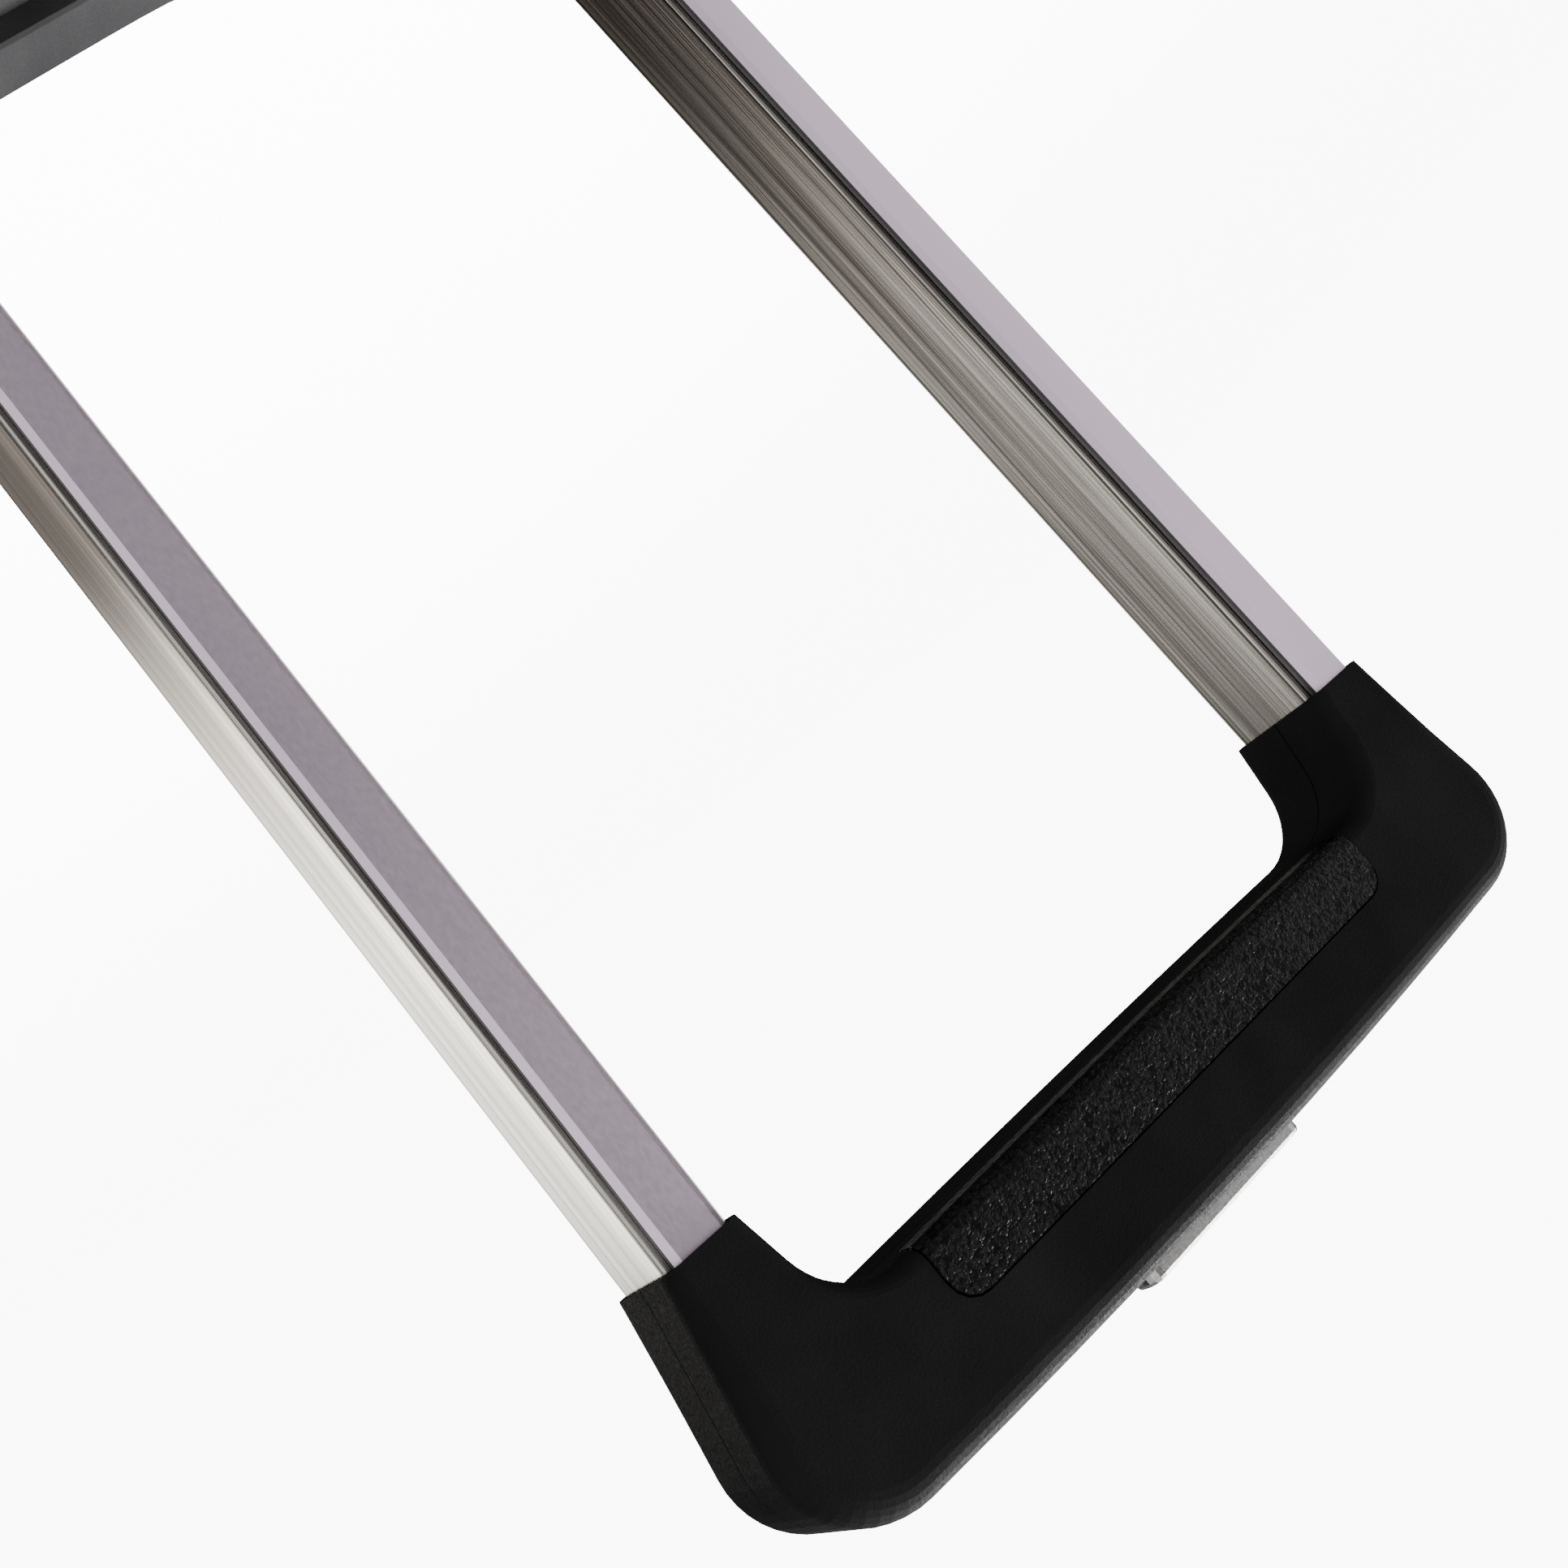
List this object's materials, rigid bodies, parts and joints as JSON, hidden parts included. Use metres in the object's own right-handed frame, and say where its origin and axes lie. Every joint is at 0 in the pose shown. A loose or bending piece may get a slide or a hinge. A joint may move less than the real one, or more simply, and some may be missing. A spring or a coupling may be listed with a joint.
{
  "type": "telescoping pull handle",
  "caption": "Telescoping pull handle of a rolling case: black U grip with a push button on twin metal rails that slide and latch in outer tubes below a bezel.",
  "frame": {"origin": "middle of the bezel's seat, the flat face that lies on the case", "axes": "+Z along the rails towards the grip, +X to the right rail, front (rail faces and finger pad) towards -Y"},
  "size_m": [0.208, 0.0375, 0.6148],
  "materials": {
    "grip_shell": "fine spark texture, black",
    "finger_pad": "leather grain, black",
    "button_metal": "satin, slightly grainy",
    "rail_metal": "brushed along the rail",
    "rail_face": "satin anodised, mauve grey",
    "glide_black": "smooth black",
    "inner_nylon": "natural nylon",
    "small_steel": "zinc plated",
    "outer_tube": "mill finish",
    "bezel_plastic": "dark grey spark texture",
    "foot_plastic": "black moulded",
    "bush_plastic": "smooth black",
    "bumper_rubber": "soft black"
  },
  "bodies": {
    "frame": {"bezel_housing": "bezel_plastic", "bezel_screw_left_1": "small_steel", "bezel_screw_left_2": "small_steel", "bezel_screw_right_1": "small_steel", "bezel_screw_right_2": "small_steel", "foot_bracket": "foot_plastic", "foot_bumper_left": "bumper_rubber", "foot_bumper_right": "bumper_rubber", "foot_screw_left": "small_steel", "foot_screw_right": "small_steel", "guide_bush_left": "bush_plastic", "guide_bush_right": "bush_plastic", "outer_tube_left": "outer_tube", "outer_tube_right": "outer_tube"},
    "handle": {"button_spring_left": "small_steel", "button_spring_right": "small_steel", "grip_back_shell": "grip_shell", "grip_front_shell": "grip_shell", "grip_pad": "finger_pad", "grip_screw_1": "small_steel", "grip_screw_2": "small_steel", "grip_screw_3": "small_steel", "grip_screw_4": "small_steel", "latch_block_left": "inner_nylon", "latch_block_right": "inner_nylon", "latch_spring_left": "small_steel", "latch_spring_right": "small_steel", "rail_face_left": "rail_face", "rail_face_right": "rail_face", "rail_glide_left": "glide_black", "rail_glide_right": "glide_black", "rail_screw_left": "small_steel", "rail_screw_right": "small_steel", "rail_tube_left": "rail_metal", "rail_tube_right": "rail_metal"},
    "button": {"button_cap": "button_metal", "button_yoke": "inner_nylon", "push_rod_left": "small_steel", "push_rod_right": "small_steel"},
    "latch_left": {"latch_pin_left": "small_steel"},
    "latch_right": {"latch_pin_right": "small_steel"}
  },
  "joints": [
    {"name": "handle_slide", "type": "slide", "parent": "frame", "child": "handle", "axis": [0, 0, 1], "range_m": [-0.198, 0]},
    {"name": "button_press", "type": "slide", "parent": "handle", "child": "button", "axis": [0, 0, -1], "range_m": [0, 0.004], "stiffness_N_per_m": 1500, "springref_m": -0.002, "deforming": ["button_spring_left", "button_spring_right"]},
    {"name": "latch_left_slide", "type": "slide", "parent": "handle", "child": "latch_left", "axis": [1, 0, 0], "range_m": [0, 0.002], "stiffness_N_per_m": 500, "springref_m": -0.002, "deforming": ["latch_spring_left"]},
    {"name": "latch_right_slide", "type": "slide", "parent": "handle", "child": "latch_right", "axis": [-1, 0, 0], "range_m": [0, 0.002], "stiffness_N_per_m": 500, "springref_m": -0.002, "deforming": ["latch_spring_right"]}
  ],
  "couplings": [
    {"joint": "latch_left_slide", "follows": "button_press", "ratio": 0.5},
    {"joint": "latch_right_slide", "follows": "button_press", "ratio": 0.5}
  ]
}
